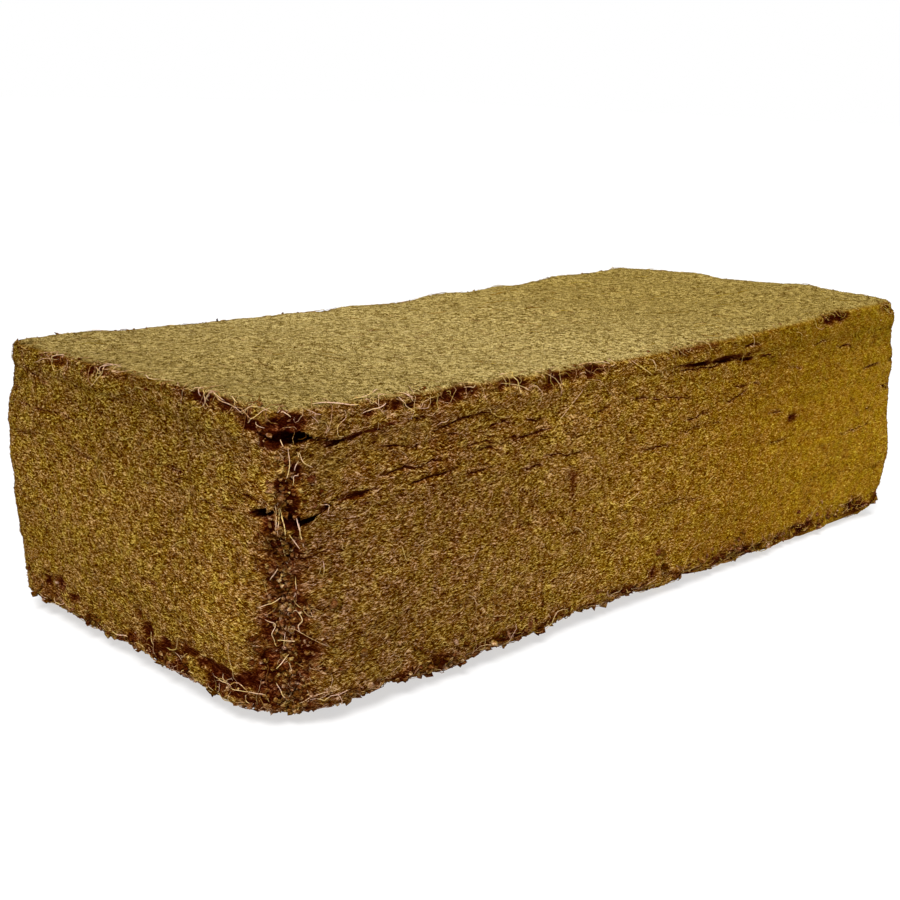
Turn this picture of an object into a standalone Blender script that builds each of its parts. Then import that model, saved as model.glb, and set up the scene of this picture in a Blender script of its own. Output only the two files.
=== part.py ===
# A bale of compressed coconut coir: one block of pressed pith and fibre, lying on a broad face.
# Metres, +Z up. The origin is under the middle of the block, on the surface that it rests on.
# +X runs along its length. The long side at -Y and the end at -X meet at the edge that has split open.

import math

import bmesh
import bpy
from mathutils import Matrix, Vector, noise

# What the finished block measures over everything
LENGTH = 0.210
WIDTH = 0.096
HEIGHT = 0.060

# Rows of faces over the block, and how far they crowd towards the edges (0 is even, 0.5 the most)
ROWS = (54, 26, 16)
CROWDING = 0.24

# Radius in plan of the four upright edges, at the top and at the foot: (at -X, at +X)
UPRIGHT_TOP_FRONT = (0.003, 0.0065)
UPRIGHT_TOP_BACK = (0.009, 0.0015)
UPRIGHT_FOOT_FRONT = (0.017, 0.0035)
UPRIGHT_FOOT_BACK = (0.011, 0.006)

# How far down the rounding of the top rim reaches, and how high that of the worn foot does at each corner
TOP_RIM = 0.001
FOOT_RIM_FRONT = (0.005, 0.008)
FOOT_RIM_BACK = (0.0057, 0.0045)

# The press left the block a little out of true: how much each corner of the top is raised, (at -X, at +X)
CORNER_RISE_FRONT = (0.0015, 0.0008)
CORNER_RISE_BACK = (-0.0006, -0.0014)

# The top sags between its ends, and the upright faces swell at mid height, the ends most towards the back
SAG_DEPTH = 0.0022
SAG_CENTRE = -0.015
SAG_REACH = 0.098
END_SWELL_FRONT = (0.0006, 0.0008)
END_SWELL_BACK = (0.0026, 0.0013)
SIDE_SWELL = 0.001

# Long low waves over every face, each shorter than the last and turned on from it (in radians)
WAVES = 5
LONGEST_WAVE = 0.085
WAVE_RATIO = 0.74
WAVE_STEEPNESS = 0.005
WAVE_TURN = 2.4

# Layers of pith that stand out from the layer below, or back behind it: the seam's height, and the step
LAYER_STEPS = ((0.016, 0.0003), (0.027, -0.0004), (0.040, 0.0004), (0.047, -0.0005), (0.053, 0.0006))
SEAM_THICKNESS = 0.0022

# Lumps the size of a fingertip, and coarser ones where the foot and the split edge have crumbled
LUMP_SIZE = 0.009
LUMP_HEIGHT = 0.0006
CRUMB_SIZE = 0.0055
CRUMB_HEIGHT = 0.0016
CRUMB_LOSS = 0.35
FOOT_BAND = 0.009
EDGE_BAND = 0.007

# Below this height a point counts as lying on the surface that the block rests on
LEVEL = 1e-7

# Where the block has split along its layers. Each split is a thin lens of air:
# its middle, then its half length along X, half depth along Y and half height, and its rise along X.
SPLITS = {
    "upper_corner_split": ((-0.105, -0.048, 0.0555), (0.026, 0.0085, 0.00085), -0.09),
    "lower_corner_split": ((-0.105, -0.048, 0.0408), (0.026, 0.0085, 0.00080), 0.065),
    "long_side_split": ((0.0225, -0.048, 0.0522), (0.020, 0.0035, 0.00060), -0.04),
    "far_end_split": ((0.105, -0.048, 0.0435), (0.010, 0.0060, 0.00060), 0.0),
    "back_side_split": ((-0.030, 0.048, 0.0440), (0.026, 0.0040, 0.00060), 0.03),
    "back_corner_split": ((0.105, 0.048, 0.0300), (0.016, 0.0090, 0.00070), -0.05),
}
SPLIT_SEGMENTS = 20
SPLIT_RINGS = 6

COIR_COLOUR = (0.205, 0.105, 0.018, 1.0)
COIR_ROUGHNESS = 0.95


def clear_scene():
    for obj in list(bpy.data.objects):
        bpy.data.objects.remove(obj)


def new_collection(name):
    collection = bpy.data.collections.new(name)
    bpy.context.scene.collection.children.link(collection)
    return collection


def coir_material():
    material = bpy.data.materials.new("pressed_coir")
    material.use_nodes = True
    shader = material.node_tree.nodes["Principled BSDF"]
    shader.inputs["Base Color"].default_value = COIR_COLOUR
    shader.inputs["Roughness"].default_value = COIR_ROUGHNESS
    shader.inputs["Metallic"].default_value = 0.0
    return material


def mix(a, b, share):
    return a + (b - a) * share


def smooth_step(value):
    value = max(0.0, min(1.0, value))
    return value * value * (3 - 2 * value)


def crowded(share):
    """A row's place from -1 to 1, for a share from -1 to 1 of the way, closer together near the ends."""
    return share * (1 + CROWDING * (1 - share * share))


def over_plan(front, back, point):
    """A value that runs smoothly between those at the four corners of the plan."""
    along = smooth_step(0.5 + point.x / LENGTH)
    across = smooth_step(0.5 + point.y / WIDTH)
    return mix(mix(*front, along), mix(*back, along), across)


def upright_radius(point):
    """The radius of the nearest upright edge, which changes smoothly down the block."""
    top = over_plan(UPRIGHT_TOP_FRONT, UPRIGHT_TOP_BACK, point)
    foot = over_plan(UPRIGHT_FOOT_FRONT, UPRIGHT_FOOT_BACK, point)
    return mix(foot, top, smooth_step(point.z / HEIGHT))


def rounded(point):
    """The plain box with round edges: past an inner box, points are drawn onto an ellipsoid."""
    radius = upright_radius(point)
    foot_rim = over_plan(FOOT_RIM_FRONT, FOOT_RIM_BACK, point)
    reach = Vector((radius, radius, foot_rim if point.z < HEIGHT / 2 else TOP_RIM))
    inner = Vector(
        (
            max(-LENGTH / 2 + radius, min(LENGTH / 2 - radius, point.x)),
            max(-WIDTH / 2 + radius, min(WIDTH / 2 - radius, point.y)),
            max(foot_rim, min(HEIGHT - TOP_RIM, point.z)),
        )
    )
    outward = Vector((point[i] - inner[i]) / reach[i] for i in range(3))
    outward.normalize()
    return inner + Vector(reach[i] * outward[i] for i in range(3)), outward


def pressed(point):
    """The set that the press left: corners high or low, a sagging top, and swollen upright faces."""
    rise = over_plan(CORNER_RISE_FRONT, CORNER_RISE_BACK, point)
    sag = SAG_DEPTH * max(0.0, 1 - ((point.x - SAG_CENTRE) / SAG_REACH) ** 2)
    bulge = math.sin(math.pi * point.z / HEIGHT)
    end_swell = over_plan(END_SWELL_FRONT, END_SWELL_BACK, point)
    return Vector(
        (
            point.x * (1 + end_swell * bulge / (LENGTH / 2)),
            point.y * (1 + SIDE_SWELL * bulge / (WIDTH / 2)),
            point.z * (1 + (rise - sag) / HEIGHT),
        )
    )


def waves(point):
    total = 0.0
    for count in range(WAVES):
        length = LONGEST_WAVE * WAVE_RATIO**count
        turn = WAVE_TURN * count
        heading = Vector((math.cos(turn), math.sin(turn), math.sin(2 * turn)))
        total += WAVE_STEEPNESS * length * math.sin(math.tau * heading.dot(point) / length + turn)
    return total


def layers(height):
    """How far the layer at this height stands out: the sum of the steps at the seams below it."""
    return sum(step * smooth_step(0.5 + (height - seam) / SEAM_THICKNESS) for seam, step in LAYER_STEPS)


def crumbled(point):
    """How crumbled the surface is, from 0 to 1: most at the foot, and down the edge that has split."""
    from_edge = math.hypot(point.x + LENGTH / 2, point.y + WIDTH / 2)
    return max(1 - smooth_step(point.z / FOOT_BAND), 1 - smooth_step(from_edge / EDGE_BAND))


def unevenness(point, outward):
    """How far the surface stands out or in. Layers show on the upright faces alone."""
    upright = 1 - abs(outward.z)
    lumps = LUMP_HEIGHT * noise.noise(point / LUMP_SIZE)
    crumbs = CRUMB_HEIGHT * crumbled(point) * (noise.noise(point / CRUMB_SIZE) - CRUMB_LOSS)
    return waves(point) + upright * layers(point.z) + lumps + crumbs


def shaped(point):
    """A point of the plain box moved to its place on the block. The resting face stays level."""
    place, outward = rounded(point)
    place = pressed(place)
    if place.z > 0:
        place += outward * unevenness(place, outward)
        place.z = max(place.z, 0.0)
    return place


def cut_into_rows(mesh):
    """Planes across the box, closer together near its edges."""
    for axis, (size, rows) in enumerate(zip((LENGTH, WIDTH, HEIGHT), ROWS)):
        normal = Vector((0, 0, 0))
        normal[axis] = 1
        middle = Vector((0, 0, HEIGHT / 2))
        for row in range(1, rows):
            place = crowded(2 * row / rows - 1) * size / 2
            geometry = mesh.verts[:] + mesh.edges[:] + mesh.faces[:]
            bmesh.ops.bisect_plane(mesh, geom=geometry, plane_co=middle + normal * place, plane_no=normal)


def fit_to_size(mesh):
    """The whole block brought to its measured size, centred over the origin and standing on z = 0."""
    low = Vector(min(vert.co[i] for vert in mesh.verts) for i in range(3))
    high = Vector(max(vert.co[i] for vert in mesh.verts) for i in range(3))
    middle = Vector(((low.x + high.x) / 2, (low.y + high.y) / 2, low.z))
    span = high - low
    for vert in mesh.verts:
        place = vert.co - middle
        vert.co = Vector((place.x * LENGTH / span.x, place.y * WIDTH / span.y, place.z * HEIGHT / span.z))


def flatten_rest_face(mesh):
    """The level faces underneath made one large face."""
    level = [face for face in mesh.faces if all(vert.co.z < LEVEL for vert in face.verts)]
    bmesh.ops.dissolve_faces(mesh, faces=level)


def make_bale(collection, material):
    mesh = bmesh.new()
    bmesh.ops.create_cube(mesh, size=1.0)
    bmesh.ops.scale(mesh, vec=(LENGTH, WIDTH, HEIGHT), verts=mesh.verts)
    bmesh.ops.translate(mesh, vec=(0, 0, HEIGHT / 2), verts=mesh.verts)
    cut_into_rows(mesh)
    for vert in mesh.verts:
        vert.co = shaped(vert.co.copy())
    fit_to_size(mesh)
    flatten_rest_face(mesh)
    data = bpy.data.meshes.new("coir_bale")
    mesh.to_mesh(data)
    mesh.free()
    data.materials.append(material)
    data.shade_smooth()
    bale = bpy.data.objects.new("coir_bale", data)
    collection.objects.link(bale)
    return bale


def make_split(name, middle, half_sizes, rise, collection):
    """A thin lens of air: a sphere flattened to the split's reach, sheared so that it climbs along X."""
    mesh = bmesh.new()
    bmesh.ops.create_uvsphere(mesh, u_segments=SPLIT_SEGMENTS, v_segments=SPLIT_RINGS, radius=1.0)
    bmesh.ops.scale(mesh, vec=half_sizes, verts=mesh.verts)
    for vert in mesh.verts:
        vert.co.z += rise * vert.co.x
    data = bpy.data.meshes.new(name)
    mesh.to_mesh(data)
    mesh.free()
    cutter = bpy.data.objects.new(name, data)
    cutter.matrix_world = Matrix.Translation(middle)
    cutter.display_type = "WIRE"
    cutter.hide_render = True
    collection.objects.link(cutter)
    return cutter


def open_splits(bale, collection):
    for name, (middle, half_sizes, rise) in SPLITS.items():
        modifier = bale.modifiers.new(name, "BOOLEAN")
        modifier.operation = "DIFFERENCE"
        modifier.object = make_split(name, middle, half_sizes, rise, collection)


def main():
    clear_scene()
    bale = make_bale(new_collection("coconut_coir_bale"), coir_material())
    open_splits(bale, new_collection("cutters"))


main()
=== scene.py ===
import math

import bmesh
import bpy
import numpy as np
from mathutils import Matrix, Vector


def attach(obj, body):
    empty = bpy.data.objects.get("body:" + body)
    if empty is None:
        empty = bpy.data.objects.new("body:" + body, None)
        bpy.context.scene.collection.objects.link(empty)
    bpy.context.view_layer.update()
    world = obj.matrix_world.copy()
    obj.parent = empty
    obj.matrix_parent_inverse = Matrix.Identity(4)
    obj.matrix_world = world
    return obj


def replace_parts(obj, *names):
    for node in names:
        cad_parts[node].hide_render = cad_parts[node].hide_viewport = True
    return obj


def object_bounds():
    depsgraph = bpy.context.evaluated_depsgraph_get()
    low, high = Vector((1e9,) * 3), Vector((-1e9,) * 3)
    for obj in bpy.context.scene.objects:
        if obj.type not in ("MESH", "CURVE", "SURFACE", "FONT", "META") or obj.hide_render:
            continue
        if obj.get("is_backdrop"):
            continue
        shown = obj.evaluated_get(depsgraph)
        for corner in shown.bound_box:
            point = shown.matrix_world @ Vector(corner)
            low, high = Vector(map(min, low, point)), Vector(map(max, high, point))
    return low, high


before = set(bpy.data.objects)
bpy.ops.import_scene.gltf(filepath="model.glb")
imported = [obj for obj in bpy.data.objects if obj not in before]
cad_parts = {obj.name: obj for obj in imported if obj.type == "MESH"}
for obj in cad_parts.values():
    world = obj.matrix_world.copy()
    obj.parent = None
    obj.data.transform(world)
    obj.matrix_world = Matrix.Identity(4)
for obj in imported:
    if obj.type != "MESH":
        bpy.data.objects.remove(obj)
cadLow, cadHigh = (np.array(corner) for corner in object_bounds())
blockSize = cadHigh - cadLow
length, width, height = blockSize
half = blockSize / 2
mm = 0.001
print("frame loaded, block", np.round(blockSize / mm, 1), "mm")


# The camera stands where a fit to the photograph's outline puts it: metres and degrees, lens in mm on a 36 mm film
view = {
    "place": (-0.2329, -0.2143, 0.1115),
    "heading": 45.24,  # from +Y towards +X
    "tilt": 15.23,  # below the horizon
    "roll": 1.87,
    "lens": 54.92,
}


def makeCamera():
    heading, tilt, roll = (math.radians(view[name]) for name in ("heading", "tilt", "roll"))
    forward = Vector(
        (math.sin(heading) * math.cos(tilt), math.cos(heading) * math.cos(tilt), -math.sin(tilt))
    )
    level = Vector((math.cos(heading), -math.sin(heading), 0))
    right = level * math.cos(roll) + level.cross(forward) * math.sin(roll)
    up = right.cross(forward)
    camera = bpy.data.objects.new("camera", bpy.data.cameras.new("camera"))
    bpy.context.collection.objects.link(camera)
    turned = Matrix((right, up, -forward)).transposed().to_4x4()
    camera.matrix_world = Matrix.Translation(view["place"]) @ turned
    camera.data.lens = view["lens"]
    camera.data.clip_start = 0.01
    bpy.context.scene.camera = camera


faces = {  # axis that the face looks along, its sign, and the two axes in its plane
    "front": (1, -1, 0, 2),
    "back": (1, 1, 0, 2),
    "end": (0, -1, 1, 2),
    "farEnd": (0, 1, 1, 2),
    "top": (2, 1, 0, 1),
    "under": (2, -1, 0, 1),
}


# How the press left the block, as the solid has it. All sizes in metres.
press = {
    "uprightTop": ((0.003, 0.0065), (0.009, 0.0015)),  # plan radius at the top: (-X, +X) at the front, then at the back
    "uprightFoot": ((0.017, 0.0035), (0.011, 0.006)),
    "topRim": 0.001,
    "footRim": ((0.005, 0.008), (0.0057, 0.0045)),
    "cornerDrop": ((0.0, 0.0007), (0.0021, 0.0029)),
    "sagDepth": 0.0022,
    "sagCentre": -0.015,
    "sagReach": 0.098,
    "endSwell": ((0.0006, 0.0008), (0.0026, 0.0013)),
    "endRoom": (0.0026, 0.0013),  # what the swelling of each end may fill at most
    "sideSwell": 0.001,
    "waves": 5,
    "longestWave": 0.085,
    "waveRatio": 0.74,
    "waveSteepness": 0.005,
    "waveTurn": 2.4,
    "seams": (0.016, 0.027, 0.040, 0.047, 0.053),  # heights where one layer steps out from the next
    "steps": (0.0003, -0.0004, 0.0004, -0.0005, 0.0006),
    "seamThickness": 0.0022,
}


def smoothStep(value):  # 3v^2 - 2v^3 on 0..1, level at both ends
    value = np.clip(value, 0, 1)
    return value * value * (3 - 2 * value)


def grown(value, start, over):  # 0 up to start, and 1 from there on once it has grown by so much
    return smoothStep((value - start) / over)


def mix(a, b, share):  # from a to b by a share
    return a + (b - a) * share


def atCorners(corners, places):  # four corner values blended smoothly over the plan
    along = smoothStep(0.5 + places[..., 0] / length)
    across = smoothStep(0.5 + places[..., 1] / width)
    (a, b), (c, d) = corners
    return mix(mix(a, b, along), mix(c, d, along), across)


def grainNoise(places, grain, seed):  # random heights on a cubic lattice joined by quintic steps, from -1 to 1
    last = 4095  # a power of two less one, so that & keeps an index inside the table
    table = np.random.default_rng(seed).permutation(last + 1)
    cell = places / grain + 1000
    base = np.floor(cell).astype(np.int64)
    part = cell - base
    part = part**3 * (part * (part * 6 - 15) + 10)
    total = np.zeros(places.shape[:-1])
    for corner in range(8):
        offset = np.array((corner & 1, corner >> 1 & 1, corner >> 2 & 1))
        index = base + offset
        hashed = table[index[..., 0] & last]
        hashed = table[(hashed + index[..., 1]) & last]
        hashed = table[(hashed + index[..., 2]) & last]
        total += np.prod(np.where(offset, part, 1 - part), axis=-1) * hashed
    return total / (last / 2) - 1


def patchy(places, grain, seed, level, contrast):  # 1 in some patches of a noise, 0 in others
    return smoothStep(level + contrast * grainNoise(places, grain, seed))


def rounded(plain):  # past an inner box, a point is drawn onto an ellipsoid at the box's corner
    atFoot, atTop = atCorners(press["uprightFoot"], plain), atCorners(press["uprightTop"], plain)
    radius = mix(atFoot, atTop, smoothStep(plain[..., 2] / height))
    footRim = atCorners(press["footRim"], plain)
    rim = np.where(plain[..., 2] < height / 2, footRim, press["topRim"])
    reach = np.stack([radius, radius, rim], axis=-1)
    inner = np.stack(
        [
            np.clip(plain[..., 0], radius - length / 2, length / 2 - radius),
            np.clip(plain[..., 1], radius - width / 2, width / 2 - radius),
            np.clip(plain[..., 2], footRim, height - press["topRim"]),
        ],
        axis=-1,
    )
    outward = (plain - inner) / reach
    outward /= np.maximum(np.linalg.norm(outward, axis=-1, keepdims=True), 1e-9)
    return inner + reach * outward, outward


def topHeight(places):  # corners high or low, and a sag as a parabola along X
    sag = press["sagDepth"] * np.clip(1 - ((places[..., 0] - press["sagCentre"]) / press["sagReach"]) ** 2, 0, None)
    return height - atCorners(press["cornerDrop"], places) - sag


def pressed(places):  # heights brought under that top, and upright faces that swell as a half sine
    swell = np.sin(np.pi * places[..., 2] / height)
    endRoom = mix(*press["endRoom"], smoothStep(0.5 + places[..., 0] / length))
    return np.stack(
        [
            places[..., 0] * (1 + (atCorners(press["endSwell"], places) * swell - endRoom) / half[0]),
            places[..., 1] * (1 + press["sideSwell"] * (swell - 1) / half[1]),
            places[..., 2] * topHeight(places) / height,
        ],
        axis=-1,
    )


def waves(places):  # sines of ever shorter length, each heading turned on from the last
    total = np.zeros(places.shape[:-1])
    for count in range(press["waves"]):
        reach = press["longestWave"] * press["waveRatio"] ** count
        turn = press["waveTurn"] * count
        heading = np.array((math.cos(turn), math.sin(turn), math.sin(2 * turn)))
        total += press["waveSteepness"] * reach * np.sin(2 * np.pi * (places @ heading) / reach + turn)
    return total


def layers(heights):  # the sum of the steps at the seams below
    total = np.zeros(heights.shape)
    for seam, step in zip(press["seams"], press["steps"]):
        total += step * smoothStep(0.5 + (heights - seam) / press["seamThickness"])
    return total


# Dark pockets above the foot, dark from the colour of loose pith and from painted shade: how high their band is, how
# much higher on the ends, how uneven and in what grain, the grain of the pockets, and what is left of them towards the
# back of the ends, past a distance from the middle
foot = {
    "band": 0.0078,
    "endRise": 0.45,
    "uneven": 0.35,
    "unevenGrain": 0.011,
    "grain": 0.0034,
    "left": 0.45,
    "past": 0.020,
}


def footShare(places):  # 1 in a pocket of the band, 0 outside them, and less where the foot rests
    onEnd = grown(np.abs(places[..., 0]) - half[0], -0.010, 0.005)
    uneven = foot["uneven"] * grainNoise(places * (1, 1, 0.2), foot["unevenGrain"], 13)
    band = foot["band"] * (1 + foot["endRise"] * onEnd + uneven)
    pockets = patchy(places, foot["grain"], 16, 0.6, 1.7)
    pockets = pockets * mix(1, foot["left"], onEnd * grown(places[..., 1], foot["past"], 0.012))
    up = places[..., 2] / band
    return (1 - grown(up, 0.5, 0.5)) * pockets * mix(0.5, 1, grown(up, 0.15, 0.25))


# The worn strip down the near corner: how far its middle lies round to the front, its reach to each side at the foot
# and at the top, where it has narrowed, and the height at which the felt of the top covers it. Then how far it wanders,
# and the grain of its mottling, which starts at a height.
worn = {
    "middle": 0.0012,
    "footReach": 0.0110,
    "topReach": 0.0058,
    "narrowAt": 0.036,
    "coveredAt": 0.0565,
    "wander": 0.0015,
    "mottle": 0.0026,
    "mottledFrom": 0.030,
}


def edgeShare(places):  # 1 down the middle of the worn strip, 0 at its reach to either side; the corner is a diagonal
    fromEnd, fromFront = places[..., 0] + half[0], places[..., 1] + half[1]
    offMiddle = np.abs((fromEnd - fromFront) / math.sqrt(2) - worn["middle"])
    offMiddle = offMiddle + worn["wander"] * grainNoise(places, 0.004, 11)
    reach = mix(worn["footReach"], worn["topReach"], smoothStep(places[..., 2] / worn["narrowAt"]))
    nearCorner = 1 - grown(fromEnd + fromFront, 0.014, 0.008)
    uncovered = 1 - grown(places[..., 2], worn["coveredAt"], 0.002)
    mottled = patchy(places, worn["mottle"], 17, 0.6, 1.4)
    mottled = mix(1, mottled, grown(places[..., 2], worn["mottledFrom"], 0.012))
    return (1 - grown(offMiddle / reach, 0.25, 0.6)) * nearCorner * uncovered * mottled


# Places where crumbs of dark pith show, which lie a little deeper and also take painted shade as pockets: face,
# distance along it, height, half length, half height and strength
darkPatches = [
    ("front", -0.0993, 0.0571, 0.0034, 0.0021, 1.0), ("front", -0.0986, 0.0490, 0.0018, 0.0013, 0.9),
    ("front", -0.1005, 0.0462, 0.0014, 0.0022, 1.0), ("front", -0.0993, 0.0430, 0.0016, 0.0018, 1.0),
    ("front", -0.0865, 0.0427, 0.0034, 0.0007, 0.9), ("end", -0.0395, 0.0560, 0.0028, 0.0013, 1.0),
    ("end", -0.0428, 0.0548, 0.0032, 0.0021, 1.0), ("end", 0.0288, 0.0094, 0.0018, 0.0016, 0.9),
    ("end", 0.0239, 0.0102, 0.0020, 0.0015, 0.9), ("end", 0.0190, 0.0083, 0.0022, 0.0013, 0.9),
    ("end", -0.0044, 0.0123, 0.0014, 0.0016, 1.0), ("end", -0.0066, 0.0096, 0.0018, 0.0022, 1.0),
    ("end", -0.0129, 0.0090, 0.0018, 0.0016, 1.0), ("end", -0.0200, 0.0100, 0.0040, 0.0013, 1.0),
    ("end", -0.0254, 0.0087, 0.0034, 0.0013, 1.0), ("end", -0.0315, 0.0088, 0.0044, 0.0013, 1.0),
    ("end", -0.0368, 0.0095, 0.0028, 0.0016, 1.0), ("end", -0.0396, 0.0136, 0.0018, 0.0024, 1.0),
    ("front", -0.0660, 0.0473, 0.0034, 0.0090, 0.40), ("front", -0.0621, 0.0291, 0.0022, 0.0120, 0.32),
    ("front", -0.0281, 0.0336, 0.0012, 0.0034, 0.65), ("front", -0.0382, 0.0545, 0.0040, 0.0010, 0.6),
    ("front", -0.0283, 0.0540, 0.0005, 0.0016, 1.0), ("front", 0.0547, 0.0348, 0.0022, 0.0010, 1.0),
    ("front", 0.0018, 0.0072, 0.0016, 0.0016, 0.9), ("front", 0.0232, 0.0527, 0.0100, 0.0009, 0.8),
]
# Places on the sides where the felt is olive like that of the top
olivePatches = [
    ("front", -0.0935, 0.0556, 0.0062, 0.0018, 0.6), ("front", -0.0930, 0.0485, 0.0062, 0.0036, 0.45),
    ("front", -0.0968, 0.0407, 0.0026, 0.0010, 0.9), ("end", -0.0432, 0.0576, 0.0014, 0.0014, 0.8),
    ("end", -0.0435, 0.0395, 0.0030, 0.0020, 0.6), ("front", -0.0523, 0.0457, 0.0060, 0.0010, 0.6),
    ("front", -0.0758, 0.0507, 0.0120, 0.0022, 0.4),
]


def onFace(places, face):  # close behind the plane of that face
    axis, sign, _, _ = faces[face]
    return places[..., axis] * sign > half[axis] - 0.006


def patchShare(patches, places):  # each patch is a ragged bell on its own face
    total = np.zeros(places.shape[:-1])
    ragged = 0.5 * grainNoise(places, 0.0016, 14)
    for face, along, level, halfLength, halfHeight, strength in patches:
        off = ((places[..., faces[face][2]] - along) / halfLength) ** 2 + ((places[..., 2] - level) / halfHeight) ** 2
        total = np.maximum(total, strength * (1 - smoothStep(off * 0.7 + ragged)) * onFace(places, face))
    return total


# The loose band under the rim, where the felt of the top overhangs; its pockets take the colour of loose pith and
# painted
# shade: how deep it is, where below the top it starts and ends and how uneven that is, the grain of its pockets, and
# the grain and strength of its patches. Then those seen in the photograph: face, along it, half length.
rim = {
    "depth": 0.0011,
    "from": 0.0006,
    "to": 0.0032,
    "uneven": 0.0009,
    "pocket": 0.0023,
    "patch": 0.008,
    "strength": 0.6,
}
rimPatches = [
    ("end", -0.0289, 0.0130), ("end", 0.0091, 0.0040), ("front", -0.0831, 0.0028), ("front", -0.0743, 0.0032),
    ("front", -0.0624, 0.0078), ("front", -0.0469, 0.0042), ("front", -0.0328, 0.0060), ("front", -0.0227, 0.0030),
    ("front", 0.0695, 0.0080),
]


def rimShare(places, outward):  # patches of a band below the rim, on the upright faces
    below = topHeight(places) - places[..., 2]
    uneven = rim["uneven"] * grainNoise(places, 0.0017, 15)
    started = grown(below, uneven * 0.5, rim["from"])
    ended = grown(below + uneven, rim["to"] * 0.6, rim["to"] * 0.5)
    band = patchy(places, rim["pocket"], 18, 0.95, 1.2) * started * (1 - ended)
    patches = rim["strength"] * patchy(places * (1, 1, 0.3), rim["patch"], 12, 0.2, 2.2)
    for face, along, halfLength in rimPatches:
        off = np.abs(places[..., faces[face][2]] - along) / halfLength
        patches = np.maximum(patches, onFace(places, face) * (1 - smoothStep(off - 0.4)))
    return band * patches * (1 - np.abs(outward[..., 2])) ** 0.5


# Lumps on lumps: grain and height of each octave, in metres. Crumbs add to them at the foot and the split edge, where
# some of the pith is lost, and the dark patches lie a little deeper.
lumps = {
    "all": ((0.009, 0.0005), (0.0042, 0.00009), (0.0018, 0.000035)),
    "crumbled": ((0.0055, 0.0007), (0.0026, 0.0007), (0.0014, 0.0006)),
    "loss": 0.3,
    "patchDepth": 0.0005,
}


def relief(places, outward):  # how far the surface stands out or in: waves, layers and lumps, less rim and patches
    upright = 1 - np.abs(outward[..., 2])
    total = waves(places) + upright * layers(places[..., 2])
    for count, (grain, tall) in enumerate(lumps["all"]):
        total += tall * grainNoise(places, grain, 20 + count)
    crumbled = np.maximum(footShare(places), edgeShare(places))
    for count, (grain, tall) in enumerate(lumps["crumbled"]):
        total += tall * crumbled * (grainNoise(places, grain, 30 + count) - lumps["loss"])
    return total - rim["depth"] * rimShare(places, outward) - lumps["patchDepth"] * patchShare(darkPatches, places)


def crumbledShare(places, outward):  # how much of the colour of loose crumbs a place has
    share = footShare(places) + edgeShare(places) + rimShare(places, outward) + patchShare(darkPatches, places)
    return np.clip(share, 0, 1)


def topShare(places, outward, olive=0.45):  # how much of the colour of the top a place has
    share = grown(outward[..., 2], 0.25, 0.5)
    return np.maximum(share, olive * patchShare(olivePatches, places))


fit = {"inset": 0.0001, "restGap": 0.0002}  # room inside the solid's faces for the felt


def shaped(plain):  # rounded, pressed and lumpy, before it is brought to size
    places, outward = rounded(plain)
    places = pressed(places)
    places = places + outward * relief(places, outward)[..., None] * (places[..., 2:] > 1e-6)
    places[..., 2] = np.maximum(places[..., 2], 0)
    return places, outward


def onBale(plain):  # a point of the plain box taken to the finished block, with the way outwards there
    places, outward = shaped(plain)
    share = (places - fit["low"]) / fit["span"]
    low, high = cadLow + fit["inset"], cadHigh - fit["inset"]
    low[2] = cadLow[2] + fit["restGap"]
    return low + share * (high - low), outward


# Where the block has split along its layers, as the solid has it. The air is a lens: half length along X and half
# depth along Y. A corner split runs round the upright edge, a side split along one face. Those that the lists below
# don't follow have a half gap and a rise along X too.
splits = [
    {"name": "upperCorner", "at": (-0.105, -0.048, 0.0555), "reach": (0.026, 0.0085)},
    {"name": "lowerCorner", "at": (-0.105, -0.048, 0.0408), "reach": (0.026, 0.0085)},
    {"name": "longSide", "at": (0.0225, -0.048, 0.0522), "reach": (0.020, 0.0035), "gap": 0.00050, "rise": -0.04},
    {"name": "farEnd", "at": (0.105, -0.048, 0.0435), "reach": (0.010, 0.0060), "gap": 0.00060, "rise": 0.0},
    {"name": "backSide", "at": (-0.030, 0.048, 0.0440), "reach": (0.026, 0.0040), "gap": 0.00060, "rise": 0.03},
    {"name": "backCorner", "at": (0.105, 0.048, 0.0300), "reach": (0.016, 0.0090), "gap": 0.00070, "rise": -0.05},
]


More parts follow.
